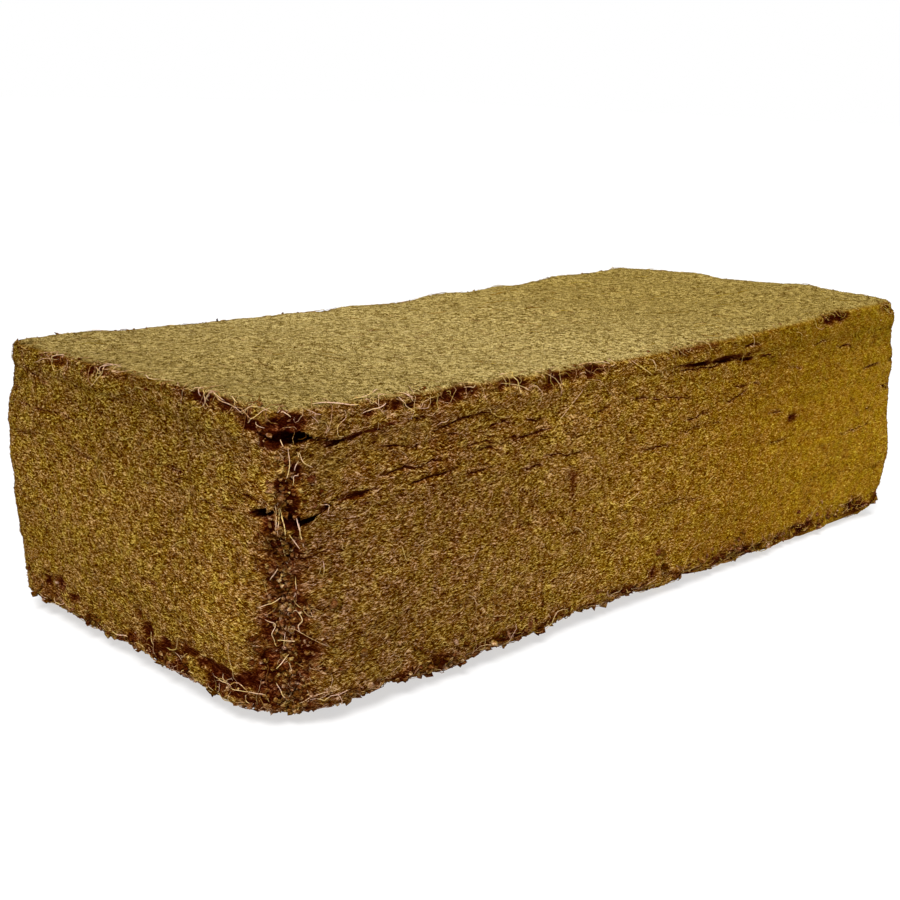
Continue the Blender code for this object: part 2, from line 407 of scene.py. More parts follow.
# How the two corner splits run from tip (-1) to tip (1) round the corner: place along, height, half gap, and how far
# into the lens they are open. Distances in metres.
splitLines = {
    "upperCorner": (
        (-1.05, 0.0560, 0.0000, 0.0), (-0.60, 0.0546, 0.0002, 0.15), (-0.35, 0.0543, 0.0004, 0.3),
        (-0.28, 0.0543, 0.0010, 1.0), (-0.155, 0.0543, 0.0012, 1.0), (-0.07, 0.0542, 0.0011, 1.0),
        (0.055, 0.0544, 0.0009, 1.0), (0.12, 0.0545, 0.0006, 0.8), (0.17, 0.0543, 0.0002, 0.3),
        (0.20, 0.0536, 0.0006, 0.4), (0.24, 0.0526, 0.0010, 0.4), (0.315, 0.0525, 0.0007, 0.4),
        (0.375, 0.0527, 0.0004, 0.3), (0.445, 0.0530, 0.0005, 0.3), (0.565, 0.0533, 0.0003, 0.2),
        (0.755, 0.0533, 0.0003, 0.2), (1.05, 0.0545, 0.0000, 0.0),
    ),
    "lowerCorner": (
        (-1.02, 0.0410, 0.0000, 0.0), (-0.87, 0.0412, 0.0005, 0.5), (-0.70, 0.0413, 0.0008, 1.0),
        (-0.55, 0.0416, 0.0007, 1.0), (-0.41, 0.0420, 0.0005, 0.5), (-0.30, 0.0419, 0.0002, 0.3),
        (-0.205, 0.0412, 0.0008, 0.6), (-0.12, 0.0404, 0.0011, 1.0), (-0.04, 0.0400, 0.0010, 1.0),
        (0.04, 0.0400, 0.0008, 1.0), (0.105, 0.0401, 0.0004, 0.8), (0.19, 0.0401, 0.0004, 0.6),
        (0.225, 0.0403, 0.0003, 0.4), (0.245, 0.0410, 0.0005, 0.3), (0.28, 0.0414, 0.0006, 0.3),
        (0.33, 0.0418, 0.0004, 0.3), (0.355, 0.0426, 0.0003, 0.2), (0.43, 0.0425, 0.0003, 0.2),
        (0.53, 0.0426, 0.0004, 0.2), (0.62, 0.0429, 0.0003, 0.2), (0.80, 0.0432, 0.0000, 0.0),
    ),
}


# How far a split wanders and in what grain, the grain of its lips with and without a list, and how near it, along X
# and along Y, a place may lie in it
splitForm = {"wander": 0.0003, "grain": 0.0022, "lips": (0.0012, 0.0026), "near": (0.03, 0.012)}


def atCorner(split):
    return abs(split["at"][0]) > half[0] * 0.9


# The place along a split, -1 to 1 from tip to tip and outside beyond that, and where its inner edge is: half an ellipse
# behind a face, a quarter of one round a corner
def splitReach(split, places):
    x, y, _ = split["at"]
    reachX, reachY = split["reach"]
    inX, inY = -np.sign(x), -np.sign(y)
    if not atCorner(split):
        along = (places[..., 0] - x) / reachX
        depth = reachY * np.sqrt(np.clip(1 - along**2, 0, 1))
        return along, np.stack([places[..., 0], y + inY * depth], axis=-1)
    along = (places[..., 0] - x) * inX / reachX - (places[..., 1] - y) * inY / reachY
    turn = np.pi / 4 * (1 - np.clip(along, -1, 1))
    return along, np.stack([x + inX * reachX * np.cos(turn), y + inY * reachY * np.sin(turn)], axis=-1)


def nearSplit(split, places):  # only the face or corner that the split opens to
    x, y, _ = split["at"]
    nearX, nearY = splitForm["near"]
    near = np.abs(places[..., 1] - y) < nearY
    if atCorner(split):
        near &= np.abs(places[..., 0] - x) < nearX
    return near


def splitShare(split, places):  # 1 at the middle of the gap, 0 at its lips; its inner edge; and how open it is
    along, inner = splitReach(split, places)
    flat, (listed, plain) = places * (1, 1, 0), splitForm["lips"]
    wander = splitForm["wander"] * grainNoise(flat, splitForm["grain"], 40)
    if split["name"] in splitLines:
        marks, levels, gaps, opens = np.array(splitLines[split["name"]]).T
        middle = np.interp(along, marks, levels)
        gap = np.interp(along, marks, gaps) * (1 + 0.5 * grainNoise(flat, listed, 41))
        opened = np.interp(along, marks, opens)
    else:
        middle = split["at"][2] + split["rise"] * (places[..., 0] - split["at"][0])
        ragged = 0.35 + 0.5 * np.exp(-((along / 0.5) ** 2)) + 1.1 * grainNoise(flat, plain, 41)
        gap = split["gap"] * np.clip(ragged, 0, 1.4) * np.sqrt(np.clip(1 - along**2, 0, 1))
        opened = np.ones_like(along)
    off = (places[..., 2] - middle - wander) / (gap + 1e-7)
    return np.sqrt(np.clip(1 - off**2, 0, 1)) * (np.abs(along) < 1) * nearSplit(split, places), inner, opened


def openSplits(places):  # inside each lens, a point slides in towards the lens's inner edge
    paintedShade, loose = np.zeros((2, *places.shape[:-1]))
    for split in splits:
        share, inner, opened = splitShare(split, places)
        places[..., :2] += (inner - places[..., :2]) * (share * opened)[..., None]
        # The gap gets painted shade, darker where it is open, and the colour of loose pith, which partly stands for
        # shade there
        inside = np.clip(2.5 * share, 0, 1)
        paintedShade = np.maximum(paintedShade, inside * mix(0.75, 1, opened))
        loose = np.maximum(loose, inside)
    return places, paintedShade, loose


# Thin cracks between layers, point by point: distance along the face and height, in metres; then the depth.
# On the long sides the distance is X, on the ends it is Y.
namedCracks = [
    ("front", ((-0.0803, 0.0526), (-0.0764, 0.0538), (-0.0692, 0.0542)), 0.0013),
    ("front", ((-0.0716, 0.0517), (-0.0669, 0.0508), (-0.0609, 0.0520), (-0.0514, 0.0517)), 0.0012),
    ("front", ((-0.0803, 0.0498), (-0.0726, 0.0485), (-0.0697, 0.0488)), 0.0010),
    ("front", ((-0.0534, 0.0484), (-0.0513, 0.0490), (-0.0470, 0.0493)), 0.0009),
    ("front", ((-0.0426, 0.0484), (-0.0367, 0.0480)), 0.0010),
    ("front", ((-0.0552, 0.0481), (-0.0496, 0.0466), (-0.0441, 0.0458), (-0.0337, 0.0458)), 0.0012),
    ("front", ((-0.0572, 0.0450), (-0.0548, 0.0454), (-0.0511, 0.0451), (-0.0441, 0.0458)), 0.0011),
    ("front", ((-0.0812, 0.0456), (-0.0763, 0.0449), (-0.0694, 0.0453), (-0.0651, 0.0454)), 0.0012),
    ("front", ((-0.0826, 0.0417), (-0.0706, 0.0424), (-0.0581, 0.0435)), 0.0012),
    ("front", ((-0.0595, 0.0416), (-0.0558, 0.0410), (-0.0537, 0.0417)), 0.0010),
    ("front", ((-0.0442, 0.0397), (-0.0368, 0.0388)), 0.0010),
    ("front", ((-0.0229, 0.0475), (-0.0192, 0.0474), (-0.0167, 0.0480)), 0.0009),
    ("front", ((0.0036, 0.0522), (0.0200, 0.0517), (0.0249, 0.0527), (0.0381, 0.0514)), 0.0010),
    ("front", ((0.0290, 0.0551), (0.0361, 0.0546)), 0.0009),
    ("front", ((-0.0107, 0.0487), (-0.0021, 0.0472), (0.0030, 0.0470), (0.0105, 0.0455)), 0.0008),
    ("front", ((0.0256, 0.0464), (0.0376, 0.0453)), 0.0008),
    ("front", ((0.0844, 0.0434), (0.0965, 0.0430), (0.0998, 0.0438)), 0.0011),
    ("front", ((0.0722, 0.0498), (0.0795, 0.0498)), 0.0008),
]
crackKinds = {
    "front": {"count": 26, "lowest": 0.014, "seed": 51},
    "back": {"count": 34, "lowest": 0.010, "seed": 52},
    "end": {"count": 10, "lowest": 0.016, "seed": 53},
    "farEnd": {"count": 14, "lowest": 0.010, "seed": 54},
}
# How wide a crack's bell is, how far above and below it its dark line is known, fully and not at all, the depth of one
# at full strength, and the depth at which felt leaves it bare. Then how far it wanders, each with its grain.
crackField = {
    "width": 0.00032,
    "full": 0.0006,
    "none": 0.0013,
    "deep": 0.0011,
    "bare": 0.0003,
    "wander": ((0.0004, 0.0042), (0.0003, 0.0014)),
    "breaks": 0.003,  # grain of the breaks in it
    "facing": 0.6,
    "apart": 0.05,  # between the noise of one crack and that of the next
}


def makeCracks():  # the named ones, and seeded short ones that are commoner towards the top
    cracks = list(namedCracks)
    for face, kind in crackKinds.items():
        rng = np.random.default_rng(kind["seed"])
        reach = half[faces[face][2]]
        for _ in range(kind["count"]):
            start = rng.uniform(-reach, reach * 0.9)
            end = start + rng.uniform(0.005, 0.018)
            level = mix(kind["lowest"], 0.053, rng.random() ** 0.6)
            tilt = rng.normal(0, 0.0006)
            cracks.append((face, ((start, level), (end, level + tilt)), rng.uniform(0.0004, 0.0008)))
    return cracks


cracks = makeCracks()


# A bell across each crack, fading to its ends and broken here and there: how deep each place is in the deepest, how
# far it is above the nearest, and the strength of that one
def crackDepth(places, outward):
    deepest = np.zeros(places.shape[:-1])
    nearest = np.full(deepest.shape, crackField["none"])
    strength = np.zeros(deepest.shape)
    for count, (face, line, depth) in enumerate(cracks):
        axis, sign, uAxis, _ = faces[face]
        alongs, heights = np.array(line).T
        share = (places[..., uAxis] - alongs[0]) / (alongs[-1] - alongs[0])
        inside = (outward[..., axis] * sign > crackField["facing"]) & (share > 0) & (share < 1)
        if not inside.any():
            continue
        at = places[inside]
        row = np.zeros_like(at)
        row[:, 0] = at[:, uAxis]
        row[:, 1] = count * crackField["apart"]
        (far, coarse), (near, fine) = crackField["wander"]
        wander = far * grainNoise(row, coarse, 60) + near * grainNoise(row, fine, 61)
        middle = np.interp(at[:, uAxis], alongs, heights) + wander
        broken = patchy(row, crackField["breaks"], 62, 0.95, 1.2)
        fade = np.clip(4 * share[inside] * (1 - share[inside]), 0, 1) ** 0.5
        off = at[:, 2] - middle
        bell = np.exp(-((off / crackField["width"]) ** 2))
        deepest[inside] = np.maximum(deepest[inside], 0.5 * depth * broken * fade * bell)
        closer = np.abs(off) < np.abs(nearest[inside])
        known = 1 - grown(np.abs(off), crackField["full"], crackField["none"] - crackField["full"])
        strong = min(1.0, depth / crackField["deep"]) * broken * fade * known
        nearest[inside] = np.where(closer, off, nearest[inside])
        strength[inside] = np.where(closer, strong, strength[inside])
    return deepest, nearest, strength


# Pits in the felt, where fibres are missing: grain of the noise and how it is stretched, threshold and depth
pits = {"grain": 0.0011, "stretch": np.array((0.6, 1.0, 1.3)), "above": 0.62, "depth": 0.0003}


def pitShare(places):  # 1 in a pit, where the noise is over the threshold
    return grown(grainNoise(places * pits["stretch"], pits["grain"], 71), pits["above"], 0.25)


# The block's own surface: faces along, across and up, closer together near the edges, the near corner, the splits and
# the cracks. A pull is how much closer, its reach how far that goes. Rows climb with the two corner splits, up to a
# distance from the corner, and less and less above and below them.
block = {
    "rows": (158, 66, 140),
    "edgePull": 1.6,
    "edgeReach": 0.006,
    "nearPull": 0.7,
    "nearReach": 0.05,
    "splitPull": 2.2,
    "splitReach": 0.0022,
    "splitLevels": (0.0547, 0.0415, 0.0522),
    "splitClimbs": ((0.0547, -0.04), (0.0415, 0.07)),
    "climbEnd": 0.026,
    "climbFade": 0.45,
    "climbRoom": 0.01,
    "crackPull": 1.1,
    "crackReach": 0.009,
    "crackLevel": 0.048,
}
# How dark the painted shade in the hollows of each kind is, the share at which it starts, and over how much of it it
# grows to that
paintedHollowShade = {"pocket": (0.78, 0.3, 0.4), "foot": (0.58, 0.35, 0.4), "edge": (0.66, 0.38, 0.45), "pit": 0.3}
blockShade = {"level": 0.49, "uneven": 0.03, "grain": 0.003, "crumbled": 0.09, "top": 0.30, "olive": 0.25}


def crowdedRows(low, high, count, pulls):  # rows at even steps of a running total of 1 + the sum of bells
    fine = np.linspace(low, high, 4001)
    density = np.ones_like(fine)
    for place, pull, reach in pulls:
        density += pull * np.exp(-(((fine - place) / reach) ** 2))
    total = np.concatenate([[0], np.cumsum((density[1:] + density[:-1]) / 2)])
    return np.interp(np.linspace(0, total[-1], count + 1), total, fine)


def latticeShell(counts):  # the outer faces of a lattice: three whole numbers for each vertex, four vertices a face
    quads = []
    for axis in range(3):
        u, v = (axis + 1) % 3, (axis + 2) % 3
        a, b = np.meshgrid(np.arange(counts[u]), np.arange(counts[v]), indexing="ij")
        a, b = a.ravel(), b.ravel()
        for side in (0, counts[axis]):
            corners = [(a, b), (a + 1, b), (a + 1, b + 1), (a, b + 1)]
            if side == 0:
                corners.reverse()
            quad = np.zeros((a.size, 4, 3), np.int64)
            for number, (cu, cv) in enumerate(corners):
                quad[:, number, axis] = side
                quad[:, number, u] = cu
                quad[:, number, v] = cv
            quads.append(quad)
    quads = np.concatenate(quads)
    base = 1_000  # more than the rows along any axis, so that three whole numbers make one key
    keys, inverse = np.unique(quads @ np.array((base**2, base, 1)), return_inverse=True)
    triples = np.stack([keys // base**2, keys // base % base, keys % base], axis=-1)
    return triples, inverse.reshape(-1, 4)


def addMesh(name, places, corners, attributes, material):  # whole arrays straight into a mesh, smooth shaded
    mesh = bpy.data.meshes.new(name)
    sides = corners.shape[1]
    mesh.vertices.add(len(places))
    mesh.vertices.foreach_set("co", places.astype(np.float32).ravel())
    mesh.loops.add(corners.size)
    mesh.loops.foreach_set("vertex_index", corners.astype(np.int32).ravel())
    mesh.polygons.add(len(corners))
    mesh.polygons.foreach_set("loop_start", np.arange(0, corners.size, sides, dtype=np.int32))
    mesh.update(calc_edges=True)
    mesh.validate()
    mesh.shade_smooth()
    for title, values in attributes.items():
        mesh.attributes.new(title, "FLOAT", "POINT").data.foreach_set("value", values.astype(np.float32).ravel())
    mesh.materials.append(material)
    piece = bpy.data.objects.new(name, mesh)
    bpy.context.collection.objects.link(piece)
    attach(piece, "root")
    print(name, len(corners) * (sides - 2), "triangles")
    return piece


# Rows crowd where the detail is; the shaped lattice is cut by cracks, pits and splits, and each point carries how dark,
# how crumbled it is, how much painted shade its hollow gets, and where its nearest crack lies
def makeBlock(material):
    splitRows = [(level, block["splitPull"], block["splitReach"]) for level in block["splitLevels"]]
    rows = []
    for axis, count in enumerate(block["rows"]):
        low, high = (0, height) if axis == 2 else (-half[axis], half[axis])
        pulls = [(edge, block["edgePull"], block["edgeReach"]) for edge in (low, high)]
        crackRows = (block["crackLevel"], block["crackPull"], block["crackReach"])
        pulls += [*splitRows, crackRows] if axis == 2 else [(low, block["nearPull"], block["nearReach"])]
        rows.append(crowdedRows(low, high, count, pulls))
    triples, corners = latticeShell(block["rows"])
    plain = np.stack([rows[axis][triples[:, axis]] for axis in range(3)], axis=-1)
    for level, climb in block["splitClimbs"]:  # rows near the corner climb with the splits, but not as far as the top
        fromCorner = np.minimum(plain[:, 0] + half[0], block["climbEnd"])
        off = (plain[:, 2] - level) / (block["climbFade"] * min(height - level, block["climbRoom"]))
        plain[:, 2] += climb * fromCorner * np.exp(-(off**2)) * (np.abs(off) < 2.2)
    unsized, _ = shaped(plain)
    fit["low"], fit["span"] = unsized.min(0), unsized.max(0) - unsized.min(0)
    places, outward = onBale(plain)
    groove, off, crack = crackDepth(places, outward)
    dent = pits["depth"] * pitShare(places) * (plain[:, 2] > 0)
    hollowed = places - outward * (groove + dent)[:, None]
    hollowed, paintedShade, loose = openSplits(hollowed)
    hollowed[:, 2] = np.maximum(hollowed[:, 2], fit["restGap"])
    # Painted shade in the pits, as deep as they are
    paintedShade = np.maximum(paintedShade, paintedHollowShade["pit"] * dent / pits["depth"])
    # Painted shade in pockets under the rim and in the dark patches, in pockets at the foot and between crumbs of the
    # worn strip
    shares = {
        "pocket": np.maximum(rimShare(places, outward), patchShare(darkPatches, places)),
        "foot": footShare(places),
        "edge": edgeShare(places) * patchy(places, 0.0021, 19, 0.62, 1.5),
    }
    for kind, share in shares.items():
        dark, start, over = paintedHollowShade[kind]
        paintedShade = np.maximum(paintedShade, dark * grown(share, start, over))
    crumbled = crumbledShare(places, outward)
    topness = topShare(places, outward, blockShade["olive"])
    uneven = blockShade["uneven"] * grainNoise(places, blockShade["grain"], 80)
    attributes = {
        "shade": blockShade["level"] + uneven - blockShade["crumbled"] * crumbled - blockShade["top"] * topness,
        "topness": topness,
        # Cracks and splits also take the darker colour of loose pith, which partly stands for the shade in them
        "crumbled": np.maximum(crumbled, np.maximum(loose, np.clip(groove / crackField["bare"], 0, 0.6))),
        "paintedShade": np.clip(paintedShade, 0, 1),
        "off": off,
        "crack": crack,
    }
    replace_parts(addMesh("coirBlock", hollowed, corners, attributes, material), "coir_bale")


def tubes(paths, outward, radii, sides):  # rings of a few points round each path, closed to a point at both ends
    count, points = radii.shape
    along = np.gradient(paths, axis=1)
    along /= np.maximum(np.linalg.norm(along, axis=-1, keepdims=True), 1e-12)
    across = np.cross(along, outward)
    across /= np.maximum(np.linalg.norm(across, axis=-1, keepdims=True), 1e-9)
    up = np.cross(across, along)
    turn = np.arange(sides) * 2 * np.pi / sides
    spokes = np.cos(turn)[:, None] * across[:, 1:-1, None] + np.sin(turn)[:, None] * up[:, 1:-1, None]
    rings = paths[:, 1:-1, None] + radii[:, 1:-1, None, None] * spokes
    places = np.concatenate([paths[:, :1], rings.reshape(count, -1, 3), paths[:, -1:]], axis=1)
    first = np.arange(sides) + 1
    following = np.roll(first, -1)
    triangles = [np.stack([np.zeros_like(first), following, first], axis=-1)]
    for ring in range(points - 3):
        a, b = first + ring * sides, following + ring * sides
        triangles.append(np.stack([a, b, b + sides], axis=-1))
        triangles.append(np.stack([a, b + sides, a + sides], axis=-1))
    last = (points - 3) * sides
    tip = 1 + (points - 2) * sides
    triangles.append(np.stack([first + last, following + last, np.full_like(first, tip)], axis=-1))
    triangles = np.concatenate(triangles)
    perTube = tip + 1
    corners = triangles[None] + (np.arange(count) * perTube)[:, None, None]
    return places.reshape(-1, 3), corners.reshape(-1, 3), perTube


def folded(face, u, v):  # a spot on a face's plane; what runs past the face's edge goes on round the corner
    axis, sign, uAxis, vAxis = faces[face]
    plain = np.zeros(u.shape + (3,))
    plain[..., uAxis], plain[..., vAxis] = u, v
    over = np.zeros(u.shape)
    for other in (uAxis, vAxis):
        over += np.maximum(np.abs(plain[..., other]) - half[other], 0)
        plain[..., other] = np.clip(plain[..., other], -half[other], half[other])
    plain[..., axis] = sign * (half[axis] - over)
    plain[..., 2] += height / 2
    return plain


# Felt over the faces, of short flecks and longer fibres: points along each, and the spread of headings in radians off
# the layers. Then where they lie: how many, shortest and longest in metres, and the seed.
feltKinds = {
    "flecks": {
        "points": 3,
        "spread": 0.55,
        "faces": {
            "top": (17000, (0.0007, 0.0020), 111),
            "front": (29700, (0.0006, 0.0020), 112),
            "end": (14900, (0.0006, 0.0020), 113),
            "back": (11000, (0.0008, 0.0024), 114),
            "farEnd": (5500, (0.0008, 0.0024), 115),
        },
    },
    "felt": {
        "points": 4,
        "spread": 0.6,
        "faces": {
            "top": (5000, (0.0014, 0.0036), 101),
            "front": (5000, (0.0012, 0.0032), 102),
            "end": (2500, (0.0012, 0.0032), 103),
            "back": (3800, (0.0012, 0.0036), 104),
            "farEnd": (1900, (0.0012, 0.0036), 105),
            "under": (2400, (0.003, 0.008), 106),
        },
    },
}
# What all felt shares. The top and the underside have no layers, so headings there go every way.
felt = {
    "flatSpread": 3.0,
    "radius": (0.00004, 0.00010),
    "curl": 0.5,
    "lift": (0.00002, 0.00016),
    "tuck": 0.00015,  # how far the tips go in
    "overlap": 0.002,
    "pale": (0.36, 0.74, 0.12),  # share of pale ones, their shade and how much it varies
    "dark": (0.43, 0.15),
    "topDarker": 0.07,
    "crumbledDarker": 0.3,
}


def walk(rng, count, points, lengths, heading, curl):  # headings drift at each step, and steps add up to the length
    turns = rng.normal(0, curl, (count, points - 1)) + rng.normal(0, curl * 0.6, (count, 1))
    headings = heading[:, None] + np.cumsum(turns, axis=1) - turns.sum(1, keepdims=True) / 2
    step = (lengths / (points - 1))[:, None]
    u = np.concatenate([np.zeros((count, 1)), np.cumsum(np.cos(headings) * step, axis=1)], axis=1)
    v = np.concatenate([np.zeros((count, 1)), np.cumsum(np.sin(headings) * step, axis=1)], axis=1)
    return u - u.mean(1, keepdims=True), v - v.mean(1, keepdims=True)


def clearOfGaps(places, outward, rng, crossing):  # few fibres lie along a crack or pit, or reach into a split
    groove = np.clip(crackDepth(places, outward)[0] / crackField["bare"], 0, 1)
    gap = 1.6 * np.maximum(groove, pitShare(places)).mean(1)
    for split in splits:
        gap = np.maximum(gap, splitShare(split, places)[0].max(1))
    return gap < np.where(rng.random(len(places)) < crossing, 2, 0.5)


# Tubes along paths lifted off the surface, none below the floor. A fibre has one value of each kind over all its
# points: that of its middle, or of loose pith if how loose it is comes with it.
def layFibres(name, places, outward, lift, radii, sides, shade, material, loose=None):
    paths = places + outward * lift[..., None]
    paths[..., 2] = np.maximum(paths[..., 2], radii + 1e-5)
    points, corners, perTube = tubes(paths, outward, radii, sides)
    middle = places.shape[1] // 2
    spots, none = (places[:, middle], outward[:, middle]), np.zeros(len(shade))
    values = {"shade": shade, "topness": none, "crumbled": none, "paintedShade": none}
    if loose is None:
        values["topness"], values["crumbled"] = topShare(*spots), crumbledShare(*spots)
    else:
        values["crumbled"] = none + loose
    attributes = {title: np.repeat(value, perTube) for title, value in values.items()}
    addMesh(name, points, corners, attributes, material)


# Walks from spots spread evenly over the face, fewer where it is crumbled or cracked. Each arches off the surface as a
# sine and tucks its tips in.
def makeFelt(name, face, kind, material):
    count, lengths, seed = kind["faces"][face]
    rng = np.random.default_rng(seed)
    _, _, uAxis, vAxis = faces[face]
    startU = rng.uniform(-half[uAxis] - felt["overlap"], half[uAxis] + felt["overlap"], count)
    startV = rng.uniform(-half[vAxis] - felt["overlap"], half[vAxis] + felt["overlap"], count)
    lengths = mix(*lengths, rng.random(count) ** 1.8)
    spread = felt["flatSpread"] if face in ("top", "under") else kind["spread"]
    heading = rng.normal(0, spread, count) + np.pi * rng.integers(0, 2, count)
    u, v = walk(rng, count, kind["points"], lengths, heading, felt["curl"])
    places, outward = onBale(folded(face, startU[:, None] + u, startV[:, None] + v))
    kept = clearOfGaps(places, outward, rng, 0.08)
    kept &= rng.random(count) > 1.7 * crumbledShare(places[:, 1], outward[:, 1])
    places, outward = places[kept], outward[kept]
    count = len(places)
    share = np.linspace(0, 1, kind["points"])
    lift = mix(*felt["lift"], rng.random((count, 1)) ** 1.5) * np.sin(np.pi * share) ** 0.7
    lift = lift - felt["tuck"] * (np.abs(2 * share - 1) > 0.99)
    radii = mix(*felt["radius"], rng.random((count, 1)) ** 1.3) * np.ones(kind["points"])
    paleShare, *pale = felt["pale"]
    shade = np.where(rng.random(count) < paleShare, rng.normal(*pale, count), rng.normal(*felt["dark"], count))
    shade -= felt["topDarker"] * (face == "top")
    # Fibres that stand higher are painted paler and those lying low darker: painted light and shade
    shade = np.clip(shade + 0.25 * (lift.max(1) / felt["lift"][1] - 0.5), 0, 1)
    shade -= felt["crumbledDarker"] * crumbledShare(places[:, 1], outward[:, 1])
    layFibres(name, places, outward, lift, radii, 3, shade, material)


# Loose curly fibres: where they lie, how far they take the colour of loose pith, how many, the share of them that may
# lie away from crumbs, lengths, and how far they stand off the surface
tangles = {
    "rimFibres": dict(zone="rim", loose=0.85, count=620, over=0.10, length=(0.003, 0.013), lift=0.0006, seed=201),
    "footFibres": dict(zone="foot", loose=0.85, count=650, over=0.25, length=(0.003, 0.014), lift=0.0007, seed=202),
    "edgeFibres": dict(zone="edge", loose=1.0, count=60, over=0.1, length=(0.0015, 0.007), lift=0.0006, seed=203),
    "looseHairs": dict(zone="all", loose=0.0, count=600, over=1.0, length=(0.002, 0.009), lift=0.0003, seed=204),
}
# What they share. Those at the edge hang down it, give or take a spread, and others run along the layers.
tangle = {
    "points": 9,
    "radius": (0.000035, 0.00010),
    "curl": 0.36,
    "spread": 0.8,
    "edgeSpread": 1.6,
    "lift": 0.00012,
    "tuck": 0.0003,
    "shade": (0.84, 0.16),
}


def tangleStarts(zone, rng, count):  # spots on the upright faces, shared out by each face's length
    names = np.array(["front", "end", "back", "farEnd"])
    weights = np.array([half[faces[name][2]] for name in names])
    if zone == "all":
        names = np.append(names, "top")
        weights = np.append(weights, half[0] * 1.2)
    if zone == "edge":
        names, weights = np.array(["front", "end"]), np.array([0.75, 0.25])
    chosen = rng.choice(names, count, p=weights / weights.sum())
    reach = np.array([half[faces[name][2]] for name in chosen])
    rise = np.array([half[faces[name][3]] for name in chosen])
    u = rng.uniform(-1, 1, count) * reach
    v = rng.uniform(-1, 1, count) * rise
    if zone == "rim":
        v = rise - rng.gamma(1.6, 0.0011, count) + 0.0008
    if zone == "foot":
        v = -rise + rng.gamma(2.0, 0.0018, count)
    if zone == "edge":
        u = -reach + rng.gamma(1.5, 0.0016, count) * mix(2.2, 0.9, smoothStep((v + rise) / worn["narrowAt"]))
    return chosen, u, v


def spotsOnBale(chosen, u, v):  # spots on several faces taken to the finished block
    plain = np.zeros(u.shape + (3,))
    for face in np.unique(chosen):
        rows = chosen == face
        plain[rows] = folded(face, u[rows], v[rows])
    return onBale(plain)


# Walks from spots in the zone, which stand off the surface in an arch with a sway along it, thickest half way
def makeTangle(name, settings, material):
    rng = np.random.default_rng(settings["seed"])
    count = settings["count"]
    chosen, startU, startV = tangleStarts(settings["zone"], rng, count)
    lengths = mix(*settings["length"], rng.random(count) ** 2)
    spread, middle = (tangle["edgeSpread"], np.pi / 2) if settings["zone"] == "edge" else (tangle["spread"], 0)
    heading = rng.normal(0, spread, count) + middle
    u, v = walk(rng, count, tangle["points"], lengths, heading, tangle["curl"])
    places, outward = spotsOnBale(chosen, startU[:, None] + u, startV[:, None] + v)
    kept = clearOfGaps(places, outward, rng, 0.1)
    kept &= rng.random(count) < settings["over"] + (1 - settings["over"]) * crumbledShare(places, outward).max(1)
    places, outward = places[kept], outward[kept]
    count = len(places)
    share = np.linspace(0, 1, tangle["points"])
    standing = settings["lift"] * rng.random((count, 1)) ** 1.5
    sway = np.sin(np.pi * share * rng.uniform(1, 3, (count, 1)) + rng.uniform(0, 6, (count, 1)))
    arch = np.sin(np.pi * share) ** 0.5
    lift = tangle["lift"] + standing * (0.55 + 0.45 * sway) * arch - tangle["tuck"] * (share == 0)
    radii = mix(*tangle["radius"], rng.random((count, 1))) * (0.45 + 0.55 * arch)
    shade = np.clip(rng.normal(*tangle["shade"], count), 0.5, 1)
    middle = places[:, tangle["points"] // 2, 0]
    loose = settings["loose"] * mix(1, 0.4, grown(middle, -0.05, 0.08))  # more golden away from the corner
    layFibres(name, places, outward, lift, radii, 3, shade, material, loose)


